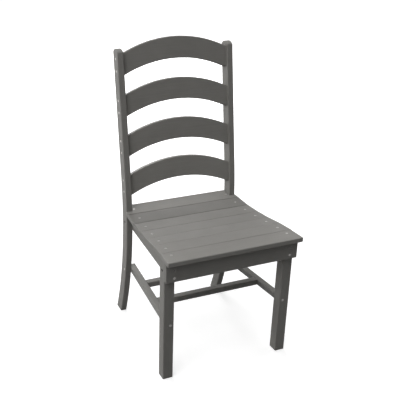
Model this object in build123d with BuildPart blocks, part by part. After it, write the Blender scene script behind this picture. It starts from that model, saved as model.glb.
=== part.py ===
"""Ladder-back dining side chair, sawn from plastic lumber and held with screws and recessed bolts.

Millimetres, +Z up, the sitter faces -Y. Depths (y) are counted back from the front face of the front
legs and heights (z) up from the floor. The origin is on the floor under the middle of the chair, and
left and right are as the chair is seen from the front.
"""
import os
from math import asin, cos, degrees, radians, sin, sqrt, tan

from build123d import *

# Rear posts: a band of even depth, one long bend from the foot that runs into a straight raked top.
# The height is to the edges of the crowned end
post_half_width = 216.4
post_thickness = 22.2
post_depth = 43.5
post_height = 996.5
post_bend_radius = 1106.0
post_rake = 8.3
post_waist_height = 404.6
post_seat_lap = 22.6
foot_offcut = 30.0
post_top_crown = 10.0
post_top_round = 3.0

# Back slats: arched boards, each in the middle of the posts' depth
slat_count = 4
slat_height = 74.0
slat_thickness = 19.0
slat_radius = 439.0
top_slat_crown_rise = 38.2
low_slat_gap = 45.5

# Seat: planks across the rails, with the drop of the seat at its edges and joints, front to rear
seat_height = 457.0
seat_drops = (0.0, 0.0, 3.0, 9.5, 12.7, 13.1, 7.5, 0.0)
seat_overhang = 41.0
seat_side_overhang = 6.2
seat_corner_round = 3.5
seat_nose_round = 2.5
front_board_width = 67.6
board_width = 64.4
board_gaps = (0.9, 0.9, 0.9, 0.9, 1.8, 1.8)
board_edge_round = 1.0
board_thickness = 15.9
post_notch_clearance = 1.0

# Front legs and apron
leg_half_width = 233.8
leg_width = 36.0
leg_depth = 37.5
leg_cheek = 14.7
apron_overhang = 2.5
apron_thickness = 19.0
apron_height = 67.1

# Side rails, angled in to lap the inner faces of the posts
rail_thickness = 22.2
rail_height = 63.1
rail_end_inset = 4.0

# Low stretchers, angled in the same way, and the bars between them
stretcher_width = 24.5
stretcher_height = 20.0
stretcher_bottom = 195.4
stretcher_lap = 26.0
cross_width = 25.9
cross_setbacks = {"front": 137.2, "rear": 263.2}

# Edges, rounded on straight boards and chamfered along sawn curves and below, and joint clearance
edge_round = 3.0
rail_edge_round = 2.0
edge_chamfer = 2.0
lap_clearance = 0.2

# Countersunk screws: each length is the first piece's thickness and the bite in the second
fastener_sides = 8
head_radius = 4.4
head_angle = 90.0
shank_radius = 2.1
hole_clearance = 0.15
seat_bite = 20.0
slat_bite = 30.0
apron_bite = 28.0
leg_stretcher_bite = 30.0
post_stretcher_bite = 17.0
slat_screw_spacing = 41.0
apron_screw_rises = (10.5, 36.5)
front_seat_screw_setback = 8.0

# Recessed bolts that pull the rails against the legs and the posts
bolt_head_radius = 4.7
bolt_head_height = 4.0
bolt_shank_radius = 3.0
bolt_recess = 5.0
bolt_bite = 19.0
bolt_rise = 25.0

# Places that follow from the sizes above
board_count = len(seat_drops) - 1
seat_rear = front_board_width + (board_count - 1) * board_width + sum(board_gaps) - seat_overhang
seat_front_half = leg_half_width + seat_side_overhang
seat_rear_half = post_half_width
apron_half = leg_half_width + apron_overhang
apron_bottom = seat_height - board_thickness - apron_height
rail_front_half = leg_half_width - leg_cheek
rail_bottom = seat_height - board_thickness - rail_height
stretcher_front_half = leg_half_width - leg_width + stretcher_width
rake = radians(post_rake)
post_inner = post_half_width - post_thickness
post_waist_y = seat_rear - post_seat_lap
post_front_radius = post_bend_radius + post_depth / 2
post_rear_radius = post_bend_radius - post_depth / 2
bend_centre_y = post_waist_y + post_bend_radius
bolt_height = rail_bottom + bolt_rise
stretcher_middle = stretcher_bottom + stretcher_height / 2
screw_head_depth = (head_radius - shank_radius) / tan(radians(head_angle / 2))
seat_screw_length = board_thickness + seat_bite
slat_screw_length = post_thickness + slat_bite
apron_screw_length = apron_thickness + apron_bite
leg_stretcher_screw_length = leg_depth + leg_stretcher_bite
post_stretcher_screw_length = post_thickness + post_stretcher_bite
bolt_length = leg_cheek - bolt_recess + bolt_bite


def post_edge(radius, z):
    """Depth at height z of the line in a post that bends at this radius."""
    bend_top = post_waist_height + radius * sin(rake)
    if z < bend_top:
        return bend_centre_y - sqrt(radius**2 - (z - post_waist_height) ** 2)
    return bend_centre_y - radius * cos(rake) + (z - bend_top) * tan(rake)


rearmost = max(post_edge(post_rear_radius, z) for z in (0, post_height))
middle = (rearmost - seat_overhang) / 2
rail_rear = post_edge(post_rear_radius, bolt_height) - rail_end_inset
stretcher_rear = post_edge(post_front_radius, stretcher_middle) + stretcher_lap


def at(x, y, z=0.0):
    """A point of the chair, with its depth counted from the front legs."""
    return (x, y - middle, z)


def rail_outer(y):
    """Outer face of a side rail at depth y."""
    return rail_front_half + (post_inner - rail_front_half) * y / rail_rear


def stretcher_outer(y):
    """Outer face of a side stretcher at depth y."""
    share = (y - leg_depth) / (stretcher_rear - leg_depth)
    return stretcher_front_half + (post_inner - stretcher_front_half) * share


def stretcher_inner(y):
    """Inner face of a side stretcher at depth y."""
    return stretcher_outer(y) - stretcher_width


# Seat planks: each lies flat between the joint in front of it and the joint behind it
board_widths = [front_board_width] + [board_width] * (board_count - 1)
board_fronts = [-seat_overhang + sum(board_widths[:i]) + sum(board_gaps[:i]) for i in range(board_count)]
board_rears = [front + width for front, width in zip(board_fronts, board_widths)]
board_middles = [(front + rear) / 2 for front, rear in zip(board_fronts, board_rears)]
joint_middles = [rear + gap / 2 for rear, gap in zip(board_rears, board_gaps)]
joints = [board_fronts[0]] + joint_middles + [board_rears[-1]]
joint_heights = [seat_height - drop for drop in seat_drops]
slopes = [
    (joint_heights[i + 1] - joint_heights[i]) / (joints[i + 1] - joints[i]) for i in range(board_count)
]


def board_top(index, y):
    """Height of a plank's top face at depth y."""
    return joint_heights[index] + slopes[index] * (y - joints[index])


def board_under(index, y):
    """Height of a plank's lower face at depth y."""
    return board_top(index, y) - board_thickness * sqrt(1 + slopes[index] ** 2)


def seat_under(y):
    """Height of the seat's underside at depth y."""
    index = max(i for i in range(board_count) if i == 0 or joints[i] <= y)
    return board_under(index, y)


def under_joint(index):
    """Depth and height of the corner where the undersides of two planks would meet."""
    ahead, behind = slopes[index - 1], slopes[index]
    y = joints[index]
    if ahead != behind:
        y += board_thickness * (sqrt(1 + ahead**2) - sqrt(1 + behind**2)) / (ahead - behind)
    return y, board_under(index, y)


def seat_half(y):
    """Half the length of the planks at depth y."""
    share = (y - joints[0]) / (joints[-1] - joints[0])
    return seat_front_half + (seat_rear_half - seat_front_half) * share


def board_plane(index, x, y):
    """Plane on a plank's top face."""
    return Plane(at(x, y, board_top(index, y)), x_dir=(1, 0, 0), z_dir=(0, -slopes[index], 1))


def raked(along):
    """Depth and height of the posts' middle line at a distance along it from the top of the bend."""
    y = bend_centre_y - post_bend_radius * cos(rake) + along * sin(rake)
    z = post_waist_height + post_bend_radius * sin(rake) + along * cos(rake)
    return y, z


# Screw and bolt places on the right-hand side, as planes on the faces that the heads lie in
slat_rise = slat_radius - sqrt(slat_radius**2 - post_inner**2)
bend_top = raked(0)[1]
top_slat_crown = (post_height - bend_top) / cos(rake) + top_slat_crown_rise
low_slat_corner = (seat_height + low_slat_gap - bend_top) / cos(rake)
low_slat_crown = low_slat_corner + slat_height + slat_rise
slat_pitch = (top_slat_crown - low_slat_crown) / (slat_count - 1)
slat_crowns = [top_slat_crown - i * slat_pitch for i in range(slat_count)]
slat_screw_steps = (-slat_screw_spacing / 2, slat_screw_spacing / 2)


def slat_screw_places(index):
    """Places of the screws into one end of a slat."""
    end_middle = slat_crowns[index] - slat_rise - slat_height / 2
    points = [raked(end_middle + step) for step in slat_screw_steps]
    return [Plane(at(post_half_width, y, z), z_dir=(1, 0, 0)) for y, z in points]


def seat_screw_place(index):
    """Place of a plank's screw, above the middle of the rail."""
    y = max(board_middles[index], front_seat_screw_setback)
    return board_plane(index, rail_outer(y) - rail_thickness / 2, y)


all_slat_screws = [place for i in range(slat_count) for place in slat_screw_places(i)]
all_seat_screws = [seat_screw_place(i) for i in range(board_count)]
rail_end_x = rail_front_half - rail_thickness / 2
apron_screws = [
    Plane(at(rail_end_x, -apron_thickness, rail_bottom + rise), z_dir=(0, -1, 0))
    for rise in apron_screw_rises
]
stretcher_end_x = stretcher_front_half - stretcher_width / 2
leg_stretcher_screw = Plane(at(stretcher_end_x, 0, stretcher_middle), z_dir=(0, -1, 0))
stretcher_lap_y = stretcher_rear - stretcher_lap / 2
post_stretcher_screw = Plane(at(post_half_width, stretcher_lap_y, stretcher_middle), z_dir=(1, 0, 0))
leg_bolt = Plane(at(leg_half_width, leg_depth / 2, bolt_height), z_dir=(1, 0, 0))
post_bolt_y = post_edge(post_bend_radius, bolt_height)
post_bolt = Plane(at(post_half_width, post_bolt_y, bolt_height), z_dir=(1, 0, 0))


def both_sides(places):
    """The places on the right-hand side and their mirror images on the left."""
    twins = [
        Plane((-p.origin.X, p.origin.Y, p.origin.Z), z_dir=(-p.z_dir.X, p.z_dir.Y, p.z_dir.Z))
        for p in places
    ]
    return places + twins


def screw(length, gap=0.0):
    """Countersunk screw that hangs from the origin, or with a gap the hole that it goes in.

    The screws repeat so often that they are eight-sided instead of round.
    """
    with BuildPart() as shape:
        with BuildSketch():
            RegularPolygon(head_radius + gap, fastener_sides)
        with BuildSketch(Plane.XY.offset(-screw_head_depth)):
            RegularPolygon(shank_radius + gap, fastener_sides)
        loft()
        with BuildSketch(Plane.XY.offset(-screw_head_depth)):
            RegularPolygon(shank_radius + gap, fastener_sides)
        extrude(amount=screw_head_depth - length - gap)
    return shape.part


def bolt(gap=0.0):
    """Bolt whose head lies in a recess under the origin, or with a gap that recess and its hole."""
    with BuildPart() as shape:
        with BuildSketch(Plane.XY.offset(-bolt_recess)):
            Circle(bolt_head_radius + gap)
        extrude(amount=bolt_recess if gap else bolt_head_height)
        with BuildSketch(Plane.XY.offset(-bolt_recess)):
            RegularPolygon(bolt_shank_radius + gap, fastener_sides)
        extrude(amount=-bolt_length - gap)
    return shape.part


def finish(piece, name):
    """Name a piece and write it."""
    piece.part.label = name
    export_step(piece.part, f"parts/{name}.step")


def finish_pair(right, name):
    """Write a right-hand piece and its mirror image."""
    with BuildPart() as left:
        mirror(right.part, about=Plane.YZ)
    finish(right, f"{name}_right")
    finish(left, f"{name}_left")


def post_outline(grow):
    """Side view of a post blank at its inner face, longer than the post by an offcut at the foot.

    It is grown in depth to make the housing of a bar that is let in beside the post.
    """
    bend_centre = (bend_centre_y - middle, post_waist_height)
    front_radius = post_front_radius + grow
    rear_radius = post_rear_radius - grow
    front_foot = degrees(asin((post_waist_height + foot_offcut) / front_radius))
    rear_foot = degrees(asin((post_waist_height + foot_offcut) / rear_radius))
    with BuildSketch(Plane.YZ.offset(post_inner)) as outline:
        with BuildLine():
            front = CenterArc(bend_centre, front_radius, 180 + front_foot, -front_foot - post_rake)
            rear = CenterArc(bend_centre, rear_radius, 180 - post_rake, rear_foot + post_rake)
            front_top = Line(front @ 1, (post_edge(front_radius, post_height) - middle, post_height))
            rear_top = Line((post_edge(rear_radius, post_height) - middle, post_height), rear @ 0)
            SagittaArc(front_top @ 1, rear_top @ 0, post_top_crown)
            Line(rear @ 1, front @ 0)
        make_face()
    return outline.sketch


os.makedirs("parts", exist_ok=True)
post_shape = post_outline(0.0)
post_housing = post_outline(lap_clearance)
seat_screw_hole = screw(seat_screw_length, hole_clearance)
slat_screw_hole = screw(slat_screw_length, hole_clearance)
apron_screw_hole = screw(apron_screw_length, hole_clearance)
leg_stretcher_screw_hole = screw(leg_stretcher_screw_length, hole_clearance)
post_stretcher_screw_hole = screw(post_stretcher_screw_length, hole_clearance)
bolt_hole = bolt(hole_clearance)

# Rear post: the blank is eased all round and then sawn level at the floor
with BuildPart() as rear_post:
    extrude(post_shape, amount=post_thickness)
    fillet(rear_post.edges().filter_by(Axis.X).group_by(Axis.Z)[-1], post_top_round)
    side_edges = rear_post.faces().filter_by(Axis.X).edges()
    chamfer(side_edges.filter_by(lambda edge: edge.center().Z > 0), edge_chamfer)
    split(bisect_by=Plane.XY, keep=Keep.TOP)
    with Locations(*all_slat_screws):
        add(slat_screw_hole, mode=Mode.SUBTRACT)
    with Locations(post_stretcher_screw):
        add(post_stretcher_screw_hole, mode=Mode.SUBTRACT)
    with Locations(post_bolt):
        add(bolt_hole, mode=Mode.SUBTRACT)
finish_pair(rear_post, "rear_post")

# Back slats, sawn to one arch above and below
slat_origin = at(0, *raked(0))
slat_plane = Plane(slat_origin, x_dir=(1, 0, 0), z_dir=(0, -cos(rake), sin(rake)))
for index, crown in enumerate(slat_crowns):
    shoulder = crown - slat_rise
    with BuildPart() as back_slat:
        with BuildSketch(slat_plane):
            with BuildLine():
                upper = ThreePointArc((-post_inner, shoulder), (0, crown), (post_inner, shoulder))
                lower = ThreePointArc(
                    (-post_inner, shoulder - slat_height),
                    (0, crown - slat_height),
                    (post_inner, shoulder - slat_height),
                )
                Line(upper @ 0, lower @ 0)
                Line(upper @ 1, lower @ 1)
            make_face()
        extrude(amount=slat_thickness / 2, both=True)
        chamfer(back_slat.edges().filter_by(GeomType.CIRCLE), edge_chamfer)
        with Locations(*both_sides(slat_screw_places(index))):
            add(slat_screw_hole, mode=Mode.SUBTRACT)
    finish(back_slat, f"back_slat_{index + 1}")

# Front leg, half lapped on the inside to take the rail
leg_top = min(seat_under(0), seat_under(leg_depth))
lap_inside = leg_half_width - 2 * leg_width
lap_front, lap_rear = -leg_depth, 2 * leg_depth
with BuildPart() as front_leg:
    with BuildSketch():
        with Locations(at(leg_half_width - leg_width / 2, leg_depth / 2)):
            RectangleRounded(leg_width, leg_depth, edge_round)
    extrude(amount=leg_top)
    with BuildSketch(Plane.XY.offset(rail_bottom)):
        with BuildLine():
            Polyline(
                at(rail_outer(lap_front), lap_front),
                at(rail_outer(lap_rear), lap_rear),
                at(lap_inside, lap_rear),
                at(lap_inside, lap_front),
                close=True,
            )
        make_face()
    extrude(amount=leg_top - rail_bottom, mode=Mode.SUBTRACT)
    with Locations(leg_stretcher_screw):
        add(leg_stretcher_screw_hole, mode=Mode.SUBTRACT)
    with Locations(leg_bolt):
        add(bolt_hole, mode=Mode.SUBTRACT)
finish_pair(front_leg, "front_leg")

# Front apron, screwed through to the ends of the rails
apron_top = min(seat_under(-apron_thickness), seat_under(0))
with BuildPart() as front_apron:
    with BuildSketch(Plane.XY.offset(apron_bottom)):
        with Locations(at(0, -apron_thickness / 2)):
            Rectangle(2 * apron_half, apron_thickness)
    extrude(amount=apron_top - apron_bottom)
    fillet(front_apron.edges().filter_by(Axis.X).group_by(Axis.Z)[0], edge_round)
    chamfer(front_apron.faces().filter_by(Axis.X).edges().filter_by(Axis.Z), edge_chamfer)
    with Locations(*both_sides(apron_screws)):
        add(apron_screw_hole, mode=Mode.SUBTRACT)
finish(front_apron, "front_apron")

# Side rail: its top follows the scoop under the planks, and its rear end is let in to the post
rail_crest = [under_joint(i) for i in range(1, board_count) if 0 < under_joint(i)[0] < rail_rear]
with BuildPart() as side_rail:
    with BuildSketch(Plane.XY.offset(rail_bottom)):
        with BuildLine():
            Polyline(
                at(rail_outer(0), 0),
                at(rail_outer(rail_rear), rail_rear),
                at(rail_outer(rail_rear) - rail_thickness, rail_rear),
                at(rail_outer(0) - rail_thickness, 0),
                close=True,
            )
        make_face()
    extrude(amount=seat_height - rail_bottom)
    fillet(side_rail.faces().sort_by(Axis.Z)[0].edges().sort_by(SortBy.LENGTH)[-2:], rail_edge_round)
    with BuildSketch(Plane.YZ):
        with BuildLine():
            Polyline(
                (-middle, rail_bottom),
                (-middle, seat_under(0)),
                *[(y - middle, z) for y, z in rail_crest],
                (rail_rear - middle, seat_under(rail_rear)),
                (rail_rear - middle, rail_bottom),
                close=True,
            )
        make_face()
    extrude(amount=leg_half_width, mode=Mode.INTERSECT)
    extrude(post_housing, amount=post_thickness, mode=Mode.SUBTRACT)
    with Locations(*all_seat_screws):
        add(seat_screw_hole, mode=Mode.SUBTRACT)
    with Locations(*apron_screws):
        add(apron_screw_hole, mode=Mode.SUBTRACT)
    with Locations(leg_bolt, post_bolt):
        add(bolt_hole, mode=Mode.SUBTRACT)
finish_pair(side_rail, "side_rail")

# Seat planks: the front one has rounded corners, and one that reaches the posts is notched round them
notch_inside = post_inner - post_notch_clearance
for index in range(board_count):
    front, rear = board_fronts[index], board_rears[index]
    centre = board_middles[index]
    half_depth = (rear - front) / 2 * sqrt(1 + slopes[index] ** 2)
    post_heights = (board_under(index, centre), board_top(index, centre))
    notch_front = min(post_edge(post_front_radius, z) for z in post_heights) - post_notch_clearance
    with BuildPart() as seat_board:
        with BuildSketch(board_plane(index, 0, centre)) as plank:
            with BuildLine():
                Polyline(
                    (-seat_half(front), -half_depth),
                    (seat_half(front), -half_depth),
                    (seat_half(rear), half_depth),
                    (-seat_half(rear), half_depth),
                    close=True,
                )
            make_face()
            if index == 0:
                fillet(plank.vertices().group_by(Axis.Y)[0], seat_corner_round)
        extrude(amount=-board_thickness)
        chamfer(seat_board.faces().sort_by(Axis.Z)[0].edges(), edge_chamfer)
        if index == 0:
            fillet(seat_board.faces().sort_by(Axis.Z)[-1].edges().sort_by(Axis.Y)[:-1], seat_nose_round)
            fillet(seat_board.faces().sort_by(Axis.Z)[-1].edges().sort_by(Axis.Y)[-1], board_edge_round)
        else:
            fillet(seat_board.faces().sort_by(Axis.Z)[-1].edges(), board_edge_round)
        if rear > notch_front:
            with BuildSketch(Plane.XY.offset(seat_height)):
                with Locations(at(notch_inside, notch_front)):
                    Rectangle(post_depth, 2 * post_depth, align=(Align.MIN, Align.MIN))
                mirror(about=Plane.YZ)
            extrude(amount=seat_height - rail_bottom, both=True, mode=Mode.SUBTRACT)
        with Locations(*both_sides([all_seat_screws[index]])):
            add(seat_screw_hole, mode=Mode.SUBTRACT)
    finish(seat_board, f"seat_board_{index + 1}")

# Side stretcher, butted to the back of the leg and let in beside the post
with BuildPart() as side_stretcher:
    with BuildSketch(Plane.XY.offset(stretcher_bottom)):
        with BuildLine():
            Polyline(
                at(stretcher_outer(leg_depth), leg_depth),
                at(stretcher_outer(stretcher_rear), stretcher_rear),
                at(stretcher_inner(stretcher_rear), stretcher_rear),
                at(stretcher_inner(leg_depth), leg_depth),
                close=True,
            )
        make_face()
    extrude(amount=stretcher_height)
    fillet(side_stretcher.edges().sort_by(SortBy.LENGTH)[-4:], edge_round)
    extrude(post_housing, amount=post_thickness, mode=Mode.SUBTRACT)
    with Locations(leg_stretcher_screw):
        add(leg_stretcher_screw_hole, mode=Mode.SUBTRACT)
    with Locations(post_stretcher_screw):
        add(post_stretcher_screw_hole, mode=Mode.SUBTRACT)
finish_pair(side_stretcher, "side_stretcher")

# Cross stretchers, cut to the slant of the side stretchers
for name, setback in cross_setbacks.items():
    cross_rear = setback + cross_width
    with BuildPart() as cross_stretcher:
        with BuildSketch(Plane.XY.offset(stretcher_bottom)):
            with BuildLine():
                Polyline(
                    at(-stretcher_inner(setback), setback),
                    at(stretcher_inner(setback), setback),
                    at(stretcher_inner(cross_rear), cross_rear),
                    at(-stretcher_inner(cross_rear), cross_rear),
                    close=True,
                )
            make_face()
        extrude(amount=stretcher_height)
        fillet(cross_stretcher.edges().filter_by(Axis.X), edge_round)
    finish(cross_stretcher, f"cross_stretcher_{name}")

# Fasteners, each kind a group of separate pieces
fastener_groups = {
    "seat_screws": (screw(seat_screw_length), all_seat_screws),
    "slat_screws": (screw(slat_screw_length), all_slat_screws),
    "apron_screws": (screw(apron_screw_length), apron_screws),
    "leg_stretcher_screws": (screw(leg_stretcher_screw_length), [leg_stretcher_screw]),
    "post_stretcher_screws": (screw(post_stretcher_screw_length), [post_stretcher_screw]),
    "rail_bolts": (bolt(), [leg_bolt, post_bolt]),
}
for name, (fastener, places) in fastener_groups.items():
    with BuildPart() as group:
        with Locations(*both_sides(places)):
            add(fastener)
    finish(group, name)
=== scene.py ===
"""Looks of a ladder-back dining chair sawn from grey plastic lumber, on a white studio floor."""
import math

import bmesh
import bpy
import numpy as np
from mathutils import Matrix, Vector


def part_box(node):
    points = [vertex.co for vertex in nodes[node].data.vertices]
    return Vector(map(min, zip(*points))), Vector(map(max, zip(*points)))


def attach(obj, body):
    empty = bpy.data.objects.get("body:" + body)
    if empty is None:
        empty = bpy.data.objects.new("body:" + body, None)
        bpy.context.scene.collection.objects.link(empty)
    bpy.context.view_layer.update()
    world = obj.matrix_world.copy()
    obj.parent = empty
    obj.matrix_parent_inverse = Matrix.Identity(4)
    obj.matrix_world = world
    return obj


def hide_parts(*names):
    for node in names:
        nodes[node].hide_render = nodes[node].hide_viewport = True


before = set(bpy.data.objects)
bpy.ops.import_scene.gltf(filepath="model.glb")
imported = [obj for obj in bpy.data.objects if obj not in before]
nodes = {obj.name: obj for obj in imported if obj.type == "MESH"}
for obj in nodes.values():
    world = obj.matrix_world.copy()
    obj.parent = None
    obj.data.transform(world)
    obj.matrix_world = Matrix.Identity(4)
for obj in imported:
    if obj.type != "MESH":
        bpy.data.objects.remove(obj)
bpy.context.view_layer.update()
scene = bpy.context.scene
scene.view_settings.view_transform = "Standard"
MM = 0.001

# Camera, solved from the photograph, for a square picture of this many pixels
PICTURE = 416
FOCAL_PIXELS = 679.889
AXIS_PIXEL_X = 143.876
CAMERA_PLACE = (-0.9785, -1.9132, 1.4305)
CAMERA_TURN = math.radians(-21.874)
CAMERA_PITCH = math.radians(23.695)
SENSOR_MM = 36.0

# Lamps: place, point that they face, size in metres and power in watts
LAMPS = {
    "overhead": ((0.0, 0.3, 6.1), (0, 0, 0.4), 4.3, 92.0),
    "back_top": ((0.0, 4.4, 4.8), (0, 0, 0.5), 3.6, 87.0),
    "back_low": ((0.2, 5.8, 1.7), (0, 0, 0.4), 3.2, 177.0),
    "left_front": ((-4.2, -2.2, 4.1), (0, 0, 0.5), 5.6, 106.0),
    "left_front_top": ((-2.6, -2.4, 5.6), (0, 0, 0.5), 5.6, 100.0),
    "left_back": ((-4.4, 3.6, 2.1), (0, 0, 0.5), 3.2, 86.0),
    "right_fill": ((5.3, 1.4, 1.3), (0, 0, 0.5), 3.2, 100.0),
}

# World and floor: white where they are seen, and dim in the light that they spread. The floor's glow
# grows with the distance from the chair, over this reach in metres
AMBIENT = 0.01
FLOOR_HALF = 12.0
FLOOR_BOUNCE = 0.12
FLOOR_WHITE = 0.80
FLOOR_GLOW = (0.55, 1.0)
FLOOR_GLOW_REACH = (0.9, 2.6)

# Colours, as linear light
LUMBER = (0.240, 0.233, 0.219)
STAINLESS = (0.50, 0.49, 0.475)
# Stainless of the front screws: a darker copy of the stainless, as painted shade
SHADED_STAINLESS = (0.25, 0.246, 0.238)
# Black of the bolts: their own dark oxide, and partly painted shade of the deep recesses they sit in
BOLT_BLACK_AND_SHADE = (0.008, 0.008, 0.008)
WHITE = (1.0, 1.0, 1.0)

# Places of the colour inputs and output on Blender's Mix node
MIX_FIRST = 6
MIX_SECOND = 7
MIX_RESULT = 2

# Tones of single boards, beside small steps from each board to the next: the apron darker as painted shade
# under the seat's overhang, the lower back slats lighter as painted light from below, and the seat planks
# set lighter or darker one by one
TONES_AND_PAINTED_SHADING = {
    "back_slat_3": 1.04,
    "back_slat_4": 1.07,
    "front_apron": 0.88,
    "seat_board_1": 1.04,
    "seat_board_3": 0.92,
    "seat_board_4": 0.93,
    "seat_board_5": 0.935,
    "seat_board_6": 0.875,
}
TONE_STEP = 0.008
TONE_COUNT = 5
TONE_STRIDE = 7

# Boards with their grain across the chair, and from front to rear. The grain of the rest is upright
GRAIN_ACROSS = ("seat_board", "back_slat", "front_apron", "cross_stretcher")
GRAIN_BACK = ("side_rail", "side_stretcher")

# Patterns in the lumber: scale per metre, detail and roughness of their noise, and the spans of it in use
STREAKS = (260.0, 3.0, 0.6)
PLANING = (900.0, 1.0, 0.5)
MOTTLE = (11.0, 3.0, 0.55)
FLECKS = (1400.0, 1.0, 0.5)
SCRATCHES = (620.0, 1.0, 0.5)
SCRATCH_PATCHES = (7.0, 1.0, 0.5)
GRAIN_STRETCH = 0.02
NOISE_SPAN = (0.25, 0.75)
FLECK_SPAN = (0.3, 0.7)
SCRATCH_SPAN = (0.70, 0.76)
SCRATCH_PATCH_SPAN = (0.50, 0.62)

# How far each pattern lightens or darkens the lumber, as a share of its colour, and how far it stands up
TINT_RANGE = 0.5
STREAK_TINT = 0.045
PLANING_TINT = 0.03
MOTTLE_TINT = 0.05
FLECK_TINT = 0.03
# Paler edges: scuffs, and partly a painted highlight along every edge
EDGE_WEAR_AND_HIGHLIGHT_TINT = 0.10
SCRATCH_TINT = 0.07
STREAK_RELIEF = 0.6
PLANING_RELIEF = 0.4
FLECK_RELIEF = 0.3
SCRATCH_RELIEF = -0.5
RELIEF_STRENGTH = 0.26
RELIEF_DEPTH = 0.4 * MM

# Softened edges of the lumber, the bend at which their pale wear, partly a painted highlight, begins and
# is full, and the patches in it
EDGE_RADIUS = 2.5 * MM
EDGE_SAMPLES = 4
EDGE_WEAR_AND_HIGHLIGHT_SPAN = (0.995, 0.88)
WEAR_PATCH_SPAN = (0.35, 0.65)
WEAR_LEAST = 0.35
LUMBER_ROUGHNESS = (0.52, 0.68)
LUMBER_GLOSS = 0.25

# Metal: the noise of its polish and of its stains, as for the lumber, and what they change
POLISH = (2500.0, 2.0, 0.6)
STAINS = (600.0, 2.0, 0.5)
METAL_SPAN = (0.3, 0.7)
STAIN_SHADES = (0.85, 1.15)
POLISH_SPREAD = 0.08
POLISH_STRENGTH = 0.12
POLISH_DEPTH = 0.1 * MM
STAINLESS_ROUGHNESS = 0.32
DULL_ROUGHNESS = 0.42
BOLT_ROUGHNESS = 0.6
METAL_GLOSS = 0.5
BOLT_GLOSS = 0.1

# Painted shade on the front screws close under the seat's overhang: how far it darkens the metal, and half
# its soft border
OVERHANG_SHADE = 0.3
OVERHANG_SHADE_BLUR = 5 * MM

# Fasteners, drawn as rings of points and each turned by a golden angle from the one before
ROUND_SIDES = 24
GOLDEN_ANGLE = math.radians(137.5)
SHARP_ANGLE = math.radians(40)
WELD = 0.01 * MM
PLACE_DIGITS = 5
FRONT_SCREW_NODES = ("apron_screws", "leg_stretcher_screws")
SCREW_NODES = FRONT_SCREW_NODES + ("seat_screws", "slat_screws", "post_stretcher_screws")
BOLT_NODE = "rail_bolts"

# Screws. The rounded edge of the head is given by insets from its radius and drops from its top
HEAD_RADIUS = 3.92 * MM
HEAD_SINK = 0.2 * MM
HEAD_EDGE = ((0.77 * MM, 0.0), (0.35 * MM, 0.04 * MM), (0.0875 * MM, 0.15 * MM), (0.035 * MM, 0.3 * MM))
HEAD_DEPTH = 2.25 * MM
SHANK_RADIUS = 1.9 * MM
POINT_LENGTH = 4.0 * MM
POINT_RADIUS = 0.38 * MM
STAR_LOBES = 6
STAR_RADIUS = 1.75 * MM
STAR_LOBE = 0.3 * MM
STAR_DEPTH = 2.2 * MM
STAR_TAPER = 0.9
STAR_FLARE = 1.08
STAR_FLARE_DEPTH = 0.15 * MM

# Bolts, with the edge of the head given in the same way. The head rises above the solid's, so that its
# black fills the recess: partly the bolt's own dark oxide, partly painted shade of the deep recess
BOLT_RADIUS = 4.65 * MM
BOLT_EDGE = ((0.9 * MM, 0.0), (0.315 * MM, 0.27 * MM), (0.0, 0.9 * MM))
BOLT_HEAD = 4.0 * MM
BOLT_RISE = 0.8 * MM
BOLT_SHANK = 2.95 * MM
BOLT_END = 0.6 * MM
SOCKET_SIDES = 6
SOCKET_FLAT = 2.0 * MM
SOCKET_DEPTH = 2.4 * MM
SOCKET_TAPER = 0.95
SOCKET_FLARE = 0.2 * MM
SOCKET_FLARE_DEPTH = 0.25 * MM

# Seat planks that the photograph shows tight against each other: their edges that close up, the round
# that these edges have, the share of it that is left, and how far they reach into the joint at the top
TIGHT_EDGES = {
    "seat_board_2": ("front", "rear"),
    "seat_board_3": ("front", "rear"),
    "seat_board_4": ("front",),
}
BOARD_ROUND = 1.0 * MM
CRISP_SHARE = 0.3
JOINT_REACH = 0.35 * MM


def add_camera():
    """The photograph's camera."""
    data = bpy.data.cameras.new("camera")
    data.sensor_width = SENSOR_MM
    data.lens = FOCAL_PIXELS * SENSOR_MM / PICTURE
    data.shift_x = (PICTURE / 2 - AXIS_PIXEL_X) / PICTURE
    camera = bpy.data.objects.new("camera", data)
    camera.location = CAMERA_PLACE
    camera.rotation_euler = (math.pi / 2 - CAMERA_PITCH, 0, CAMERA_TURN)
    scene.collection.objects.link(camera)
    scene.camera = camera


def add_lamp(name, place, target, size, watts):
    """A round, soft lamp that faces a point."""
    data = bpy.data.lights.new(name, "AREA")
    data.shape = "DISK"
    data.size = size
    data.energy = watts
    lamp = bpy.data.objects.new(name, data)
    lamp.location = place
    lamp.rotation_euler = (Vector(target) - Vector(place)).to_track_quat("-Z", "Y").to_euler()
    scene.collection.objects.link(lamp)


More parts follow.
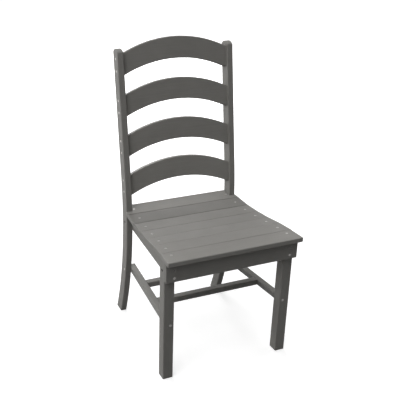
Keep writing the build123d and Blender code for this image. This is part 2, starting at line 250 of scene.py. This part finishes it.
class Tree:
    """A material's or a world's node tree, with short calls to add and join nodes."""

    def __init__(self, owner):
        owner.use_nodes = True
        self.tree = owner.node_tree
        self.tree.nodes.clear()

    def node(self, kind, inputs=None, **settings):
        """A new node, with its inputs linked to sockets or set to values."""
        made = self.tree.nodes.new(kind)
        for key, value in settings.items():
            setattr(made, key, value)
        for key, value in (inputs or {}).items():
            if isinstance(value, bpy.types.NodeSocket):
                self.tree.links.new(value, made.inputs[key])
            else:
                made.inputs[key].default_value = value
        return made

    def math(self, operation, a, b, clamp=False):
        return self.node("ShaderNodeMath", {0: a, 1: b}, operation=operation, use_clamp=clamp).outputs[0]

    def total(self, first, *others):
        """The sum of several values."""
        for other in others:
            first = self.math("ADD", first, other)
        return first

    def ramp(self, value, low, high, to_low=0.0, to_high=1.0):
        """A value carried from one range to another, and kept within it."""
        made = self.node(
            "ShaderNodeMapRange",
            {"Value": value, "From Min": low, "From Max": high, "To Min": to_low, "To Max": to_high},
        )
        return made.outputs["Result"]

    def swing(self, value, span, size):
        """A noise carried to as much below zero as above it."""
        return self.ramp(value, *span, -size, size)

    def noise(self, vector, scale, detail, roughness):
        made = self.node(
            "ShaderNodeTexNoise",
            {"Vector": vector, "Scale": scale, "Detail": detail, "Roughness": roughness},
        )
        return made.outputs["Fac"]

    def mix(self, share, first, second):
        """A colour between two others."""
        inputs = {0: share, MIX_FIRST: first, MIX_SECOND: second}
        return self.node("ShaderNodeMix", inputs, data_type="RGBA").outputs[MIX_RESULT]

    def seen(self):
        """1 for rays from the camera, a mirror or glass, and 0 for light that spreads."""
        path = self.node("ShaderNodeLightPath")
        shown = self.math("ADD", path.outputs["Is Camera Ray"], path.outputs["Is Glossy Ray"])
        return self.math("ADD", shown, path.outputs["Is Transmission Ray"], clamp=True)


def shade(colour, factor=1.0):
    """A colour made lighter or darker, with its alpha."""
    return tuple(channel * factor for channel in colour) + (1.0,)


def lumber(name, grain_axis, tone_and_shading):
    """Solid plastic lumber: planed along the grain, faintly streaked and mottled, scuffed at its edges and
    lightened there by a painted highlight.
    """
    made = bpy.data.materials.new(name)
    t = Tree(made)
    place = t.node("ShaderNodeTexCoord").outputs["Object"]
    along = [1.0, 1.0, 1.0]
    along[grain_axis] = GRAIN_STRETCH
    stretched = t.node("ShaderNodeMapping", {"Vector": place, "Scale": along}).outputs["Vector"]
    streaks = t.noise(stretched, *STREAKS)
    planing = t.noise(stretched, *PLANING)
    mottle = t.noise(place, *MOTTLE)
    flecks = t.noise(place, *FLECKS)
    lines = t.ramp(t.noise(stretched, *SCRATCHES), *SCRATCH_SPAN)
    patches = t.ramp(t.noise(place, *SCRATCH_PATCHES), *SCRATCH_PATCH_SPAN)
    scratches = t.math("MULTIPLY", lines, patches)
    soft = t.node("ShaderNodeBevel", {"Radius": EDGE_RADIUS}, samples=EDGE_SAMPLES).outputs["Normal"]
    flat = t.node("ShaderNodeNewGeometry").outputs["Normal"]
    facing = t.node("ShaderNodeVectorMath", {0: soft, 1: flat}, operation="DOT_PRODUCT").outputs["Value"]
    # Edges paler in patches: partly scuffs, partly a painted highlight along every edge
    worn = t.ramp(mottle, *WEAR_PATCH_SPAN, WEAR_LEAST, 1.0)
    edge_wear_and_highlight = t.math("MULTIPLY", t.ramp(facing, *EDGE_WEAR_AND_HIGHLIGHT_SPAN), worn)
    tint = t.total(
        t.swing(streaks, NOISE_SPAN, STREAK_TINT),
        t.swing(planing, NOISE_SPAN, PLANING_TINT),
        t.swing(mottle, NOISE_SPAN, MOTTLE_TINT),
        t.swing(flecks, FLECK_SPAN, FLECK_TINT),
        t.math("MULTIPLY", edge_wear_and_highlight, EDGE_WEAR_AND_HIGHLIGHT_TINT),
        t.math("MULTIPLY", scratches, SCRATCH_TINT),
    )
    # The tone, which holds the painted shade and painted light of some boards, scales the lumber's colour
    darkest = shade(LUMBER, tone_and_shading * (1 - TINT_RANGE))
    lightest = shade(LUMBER, tone_and_shading * (1 + TINT_RANGE))
    relief = t.total(
        t.math("MULTIPLY", streaks, STREAK_RELIEF),
        t.math("MULTIPLY", planing, PLANING_RELIEF),
        t.math("MULTIPLY", flecks, FLECK_RELIEF),
        t.math("MULTIPLY", scratches, SCRATCH_RELIEF),
    )
    bump = t.node(
        "ShaderNodeBump",
        {"Height": relief, "Strength": RELIEF_STRENGTH, "Distance": RELIEF_DEPTH, "Normal": soft},
    )
    surface = t.node(
        "ShaderNodeBsdfPrincipled",
        {
            "Base Color": t.mix(t.ramp(tint, -TINT_RANGE, TINT_RANGE), darkest, lightest),
            "Roughness": t.ramp(streaks, *NOISE_SPAN, *LUMBER_ROUGHNESS),
            "Specular IOR Level": LUMBER_GLOSS,
            "Normal": bump.outputs["Normal"],
        },
    )
    t.node("ShaderNodeOutputMaterial", {"Surface": surface.outputs["BSDF"]})
    return made


def metal(name, colour, roughness, bare=1.0, gloss=METAL_GLOSS, shade_above=None):
    """Metal with a finely worn polish, bare or under a dark oxide, and darkened above a height as painted
    shade.
    """
    made = bpy.data.materials.new(name)
    t = Tree(made)
    place = t.node("ShaderNodeTexCoord").outputs["Object"]
    polish = t.noise(place, *POLISH)
    stains = t.ramp(t.noise(place, *STAINS), *METAL_SPAN)
    darkest, lightest = (shade(colour, factor) for factor in STAIN_SHADES)
    shine = t.mix(stains, darkest, lightest)
    # Painted shade: the metal darker above the given height, for screws in the shade under the seat
    if shade_above:
        height = t.node("ShaderNodeSeparateXYZ", {0: place}).outputs["Z"]
        share = t.ramp(height, shade_above - OVERHANG_SHADE_BLUR, shade_above + OVERHANG_SHADE_BLUR)
        shine = t.mix(share, shine, shade(colour, OVERHANG_SHADE))
    bump = t.node(
        "ShaderNodeBump",
        {"Height": polish, "Strength": POLISH_STRENGTH, "Distance": POLISH_DEPTH},
    )
    surface = t.node(
        "ShaderNodeBsdfPrincipled",
        {
            "Base Color": shine,
            "Metallic": bare,
            "Roughness": t.ramp(polish, *METAL_SPAN, roughness - POLISH_SPREAD, roughness + POLISH_SPREAD),
            "Specular IOR Level": gloss,
            "Normal": bump.outputs["Normal"],
        },
    )
    t.node("ShaderNodeOutputMaterial", {"Surface": surface.outputs["BSDF"]})
    return made


def floor_material():
    """White that keeps a faint shadow under the chair and gives little light back."""
    made = bpy.data.materials.new("floor_white")
    t = Tree(made)
    dim = t.node("ShaderNodeBsdfDiffuse", {"Color": shade(WHITE, FLOOR_BOUNCE)})
    pale = t.node("ShaderNodeBsdfDiffuse", {"Color": shade(WHITE, FLOOR_WHITE)})
    place = t.node("ShaderNodeTexCoord").outputs["Object"]
    distance = t.node("ShaderNodeVectorMath", {0: place}, operation="LENGTH").outputs["Value"]
    strength = t.ramp(distance, *FLOOR_GLOW_REACH, *FLOOR_GLOW)
    glow = t.node("ShaderNodeEmission", {"Color": shade(WHITE), "Strength": strength})
    bright = t.node("ShaderNodeAddShader", {0: pale.outputs[0], 1: glow.outputs[0]})
    shown = t.node("ShaderNodeMixShader", {0: t.seen(), 1: dim.outputs[0], 2: bright.outputs[0]})
    t.node("ShaderNodeOutputMaterial", {"Surface": shown.outputs[0]})
    return made


def add_world():
    """A backdrop that is white where it is seen and gives little light."""
    world = bpy.data.worlds.new("studio")
    scene.world = world
    t = Tree(world)
    strength = t.ramp(t.seen(), 0.0, 1.0, AMBIENT, 1.0)
    backdrop = t.node("ShaderNodeBackground", {"Color": shade(WHITE), "Strength": strength})
    t.node("ShaderNodeOutputWorld", {"Surface": backdrop.outputs["Background"]})


def add_floor():
    """A wide square floor."""
    mesh = bpy.data.meshes.new("floor")
    signs = ((-1, -1), (1, -1), (1, 1), (-1, 1))
    corners = [(x * FLOOR_HALF, y * FLOOR_HALF, 0) for x, y in signs]
    mesh.from_pydata(corners, [], [(0, 1, 2, 3)])
    mesh.materials.append(floor_material())
    floor = bpy.data.objects.new("floor", mesh)
    scene.collection.objects.link(floor)


def stand_in(mesh, name):
    """Shows a mesh in place of a CAD node, under the mesh's name."""
    piece = bpy.data.objects.new(mesh.name, mesh)
    scene.collection.objects.link(piece)
    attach(piece, "root")
    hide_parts(name)
    return piece


def separate_points(name):
    """The points of each separate fastener in a CAD node."""
    mesh = bmesh.new()
    mesh.from_mesh(nodes[name].data)
    bmesh.ops.remove_doubles(mesh, verts=mesh.verts, dist=WELD)
    reached = set()
    groups = []
    for first in mesh.verts:
        if first in reached:
            continue
        reached.add(first)
        group = [first]
        for vert in group:
            for link in vert.link_edges:
                other = link.other_vert(vert)
                if other not in reached:
                    reached.add(other)
                    group.append(other)
        groups.append(np.array([tuple(vert.co) for vert in group]))
    mesh.free()
    return groups


def fastener_place(points):
    """Where a fastener sits: its head's middle with +Z outwards, and its length."""
    middle = points.mean(axis=0)
    spread = points - middle
    axis = np.linalg.eigh(spread.T @ spread)[1][:, 2]
    along = spread @ axis
    across = np.linalg.norm(spread - np.outer(along, axis), axis=1)
    if across[along > 0].max() < across[along < 0].max():
        axis, along = -axis, -along
    out = Vector(axis)
    head = Vector(middle) + out * float(along.max())
    turn = out.to_track_quat("Z", "Y").to_matrix().to_4x4()
    return Matrix.Translation(head) @ turn, float(np.ptp(along))


def ring(height, radius_at):
    """Points round an axis, at a radius that depends on the angle."""
    angles = [2 * math.pi * k / ROUND_SIDES for k in range(ROUND_SIDES)]
    return [(radius_at(a) * math.cos(a), radius_at(a) * math.sin(a), height) for a in angles]


def circle(radius, height):
    return ring(height, lambda angle: radius)


def socket(flat, height):
    """A ring on a polygon with this distance to its flats."""
    part = 2 * math.pi / SOCKET_SIDES
    return ring(height, lambda angle: flat / math.cos((angle + part / 2) % part - part / 2))


def star(factor, height):
    """A ring with lobes."""
    return ring(height, lambda angle: factor * (STAR_RADIUS + STAR_LOBE * math.cos(STAR_LOBES * angle)))


def screw_rings(length):
    """A flat-head screw with a lobed drive, from the foot of the drive to the point."""
    top = -HEAD_SINK
    return [
        star(STAR_TAPER, top - STAR_DEPTH),
        star(1.0, top - STAR_FLARE_DEPTH),
        star(STAR_FLARE, top),
        *[circle(HEAD_RADIUS - inset, top - drop) for inset, drop in HEAD_EDGE],
        circle(SHANK_RADIUS, top - HEAD_DEPTH),
        circle(SHANK_RADIUS, POINT_LENGTH - length),
        circle(POINT_RADIUS, -length),
    ]


def bolt_rings(length):
    """A round-head bolt with a six-sided socket, from the foot of the socket to the end."""
    # The head stands proud of the solid's, so that its black fills the recess as painted shade
    top = BOLT_RISE
    return [
        socket(SOCKET_FLAT * SOCKET_TAPER, top - SOCKET_DEPTH),
        socket(SOCKET_FLAT, top - SOCKET_FLARE_DEPTH),
        socket(SOCKET_FLAT + SOCKET_FLARE, top),
        *[circle(BOLT_RADIUS - inset, top - drop) for inset, drop in BOLT_EDGE],
        circle(BOLT_RADIUS, -BOLT_HEAD),
        circle(BOLT_SHANK, -BOLT_HEAD),
        circle(BOLT_SHANK, BOLT_END - length),
        circle(BOLT_SHANK - BOLT_END, -length),
    ]


def skin(start, ring_count):
    """Faces between rings of points, counted from this point on, with both ends closed."""
    last = start + (ring_count - 1) * ROUND_SIDES
    faces = []
    for row in range(start, last, ROUND_SIDES):
        for k in range(ROUND_SIDES):
            a = row + k
            b = row + (k + 1) % ROUND_SIDES
            faces.append((a, a + ROUND_SIDES, b + ROUND_SIDES, b))
    faces.append(tuple(range(start, start + ROUND_SIDES)))
    faces.append(tuple(reversed(range(last, last + ROUND_SIDES))))
    return faces


def detail_fasteners(name, rings_of, material):
    """Draws a CAD node's fasteners in detail, each turned by its own angle, in place of the node."""
    places = [fastener_place(points) for points in separate_points(name)]
    places.sort(key=lambda found: tuple(round(v, PLACE_DIGITS) for v in found[0].translation))
    verts, faces = [], []
    for order, (place, length) in enumerate(places):
        turned = place @ Matrix.Rotation(order * GOLDEN_ANGLE, 4, "Z")
        rings = rings_of(length)
        faces.extend(skin(len(verts), len(rings)))
        for points in rings:
            verts.extend(turned @ Vector(point) for point in points)
    mesh = bpy.data.meshes.new(f"{name}_detail")
    mesh.from_pydata(verts, [], faces)
    mesh.materials.append(material)
    for face in mesh.polygons:
        face.use_smooth = len(face.vertices) == 4
    mesh.set_sharp_from_angle(angle=SHARP_ANGLE)
    stand_in(mesh, name)


def tight_board(name, edges):
    """A seat plank whose named edges reach into their joints at the top, with crisper corners."""
    mesh = nodes[name].data.copy()
    mesh.name = f"{name}_tight"
    top_face = max(mesh.polygons, key=lambda face: face.area * face.normal.z)
    up = top_face.normal.copy()
    back = Vector((0, up.z, -up.y)).normalized()
    top = top_face.center.dot(up)
    depths = [vert.co.dot(back) for vert in mesh.vertices]
    thickness = top - min(vert.co.dot(up) for vert in mesh.vertices)
    ends = {"front": (min(depths), 1), "rear": (max(depths), -1)}
    for end, inwards in (ends[edge] for edge in edges):
        for vert, depth in zip(mesh.vertices, depths):
            inset = (depth - end) * inwards
            drop = top - vert.co.dot(up)
            on_round = drop < BOARD_ROUND + WELD
            if inset > (BOARD_ROUND if on_round else 0.0) + WELD:
                continue
            new_drop = drop * CRISP_SHARE if on_round else drop
            new_inset = inset * CRISP_SHARE - JOINT_REACH * (1 - new_drop / thickness)
            vert.co += back * inwards * (new_inset - inset) - up * (new_drop - drop)
    return stand_in(mesh, name)


def grain_axis_of(name):
    """The axis along a board: 0 across the chair, 1 from front to rear and 2 upright."""
    if name.startswith(GRAIN_ACROSS):
        return 0
    return 1 if name.startswith(GRAIN_BACK) else 2


def dress_boards():
    """Gives each board a lumber of its own, and closes the joints of the tight planks."""
    for order, name in enumerate(sorted(nodes)):
        if name in SCREW_NODES or name == BOLT_NODE:
            continue
        step = order * TONE_STRIDE % TONE_COUNT - TONE_COUNT // 2
        # The tone holds the painted shade of the apron and the painted light of the lower slats, beside
        # the small steps
        tone_and_shading = TONES_AND_PAINTED_SHADING.get(name, 1.0) + TONE_STEP * step
        board = tight_board(name, TIGHT_EDGES[name]) if name in TIGHT_EDGES else nodes[name]
        board.data.materials.clear()
        board.data.materials.append(lumber(f"lumber_{name}", grain_axis_of(name), tone_and_shading))


def dress_fasteners():
    """Draws the screws, rougher and darker where they face forwards, the darkness a painted shade, with
    more painted shade on the upper front row, and the bolts, whose black is partly painted shade.
    """
    # The upper row of front screws, under the seat's overhang, gets painted shade
    low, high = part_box("apron_screws")
    between_rows = (low[2] + high[2]) / 2
    stainless = metal("stainless", STAINLESS, STAINLESS_ROUGHNESS)
    shaded_stainless = metal("shaded_stainless", SHADED_STAINLESS, DULL_ROUGHNESS, shade_above=between_rows)
    bolt_black = metal("bolt_black", BOLT_BLACK_AND_SHADE, BOLT_ROUGHNESS, bare=0.0, gloss=BOLT_GLOSS)
    for name in SCREW_NODES:
        # Forward-facing screws take the darker copy, as painted shade
        finish = shaded_stainless if name in FRONT_SCREW_NODES else stainless
        detail_fasteners(name, screw_rings, finish)
    detail_fasteners(BOLT_NODE, bolt_rings, bolt_black)


add_camera()
for lamp_name, lamp_settings in LAMPS.items():
    add_lamp(lamp_name, *lamp_settings)
add_world()
add_floor()
dress_boards()
dress_fasteners()
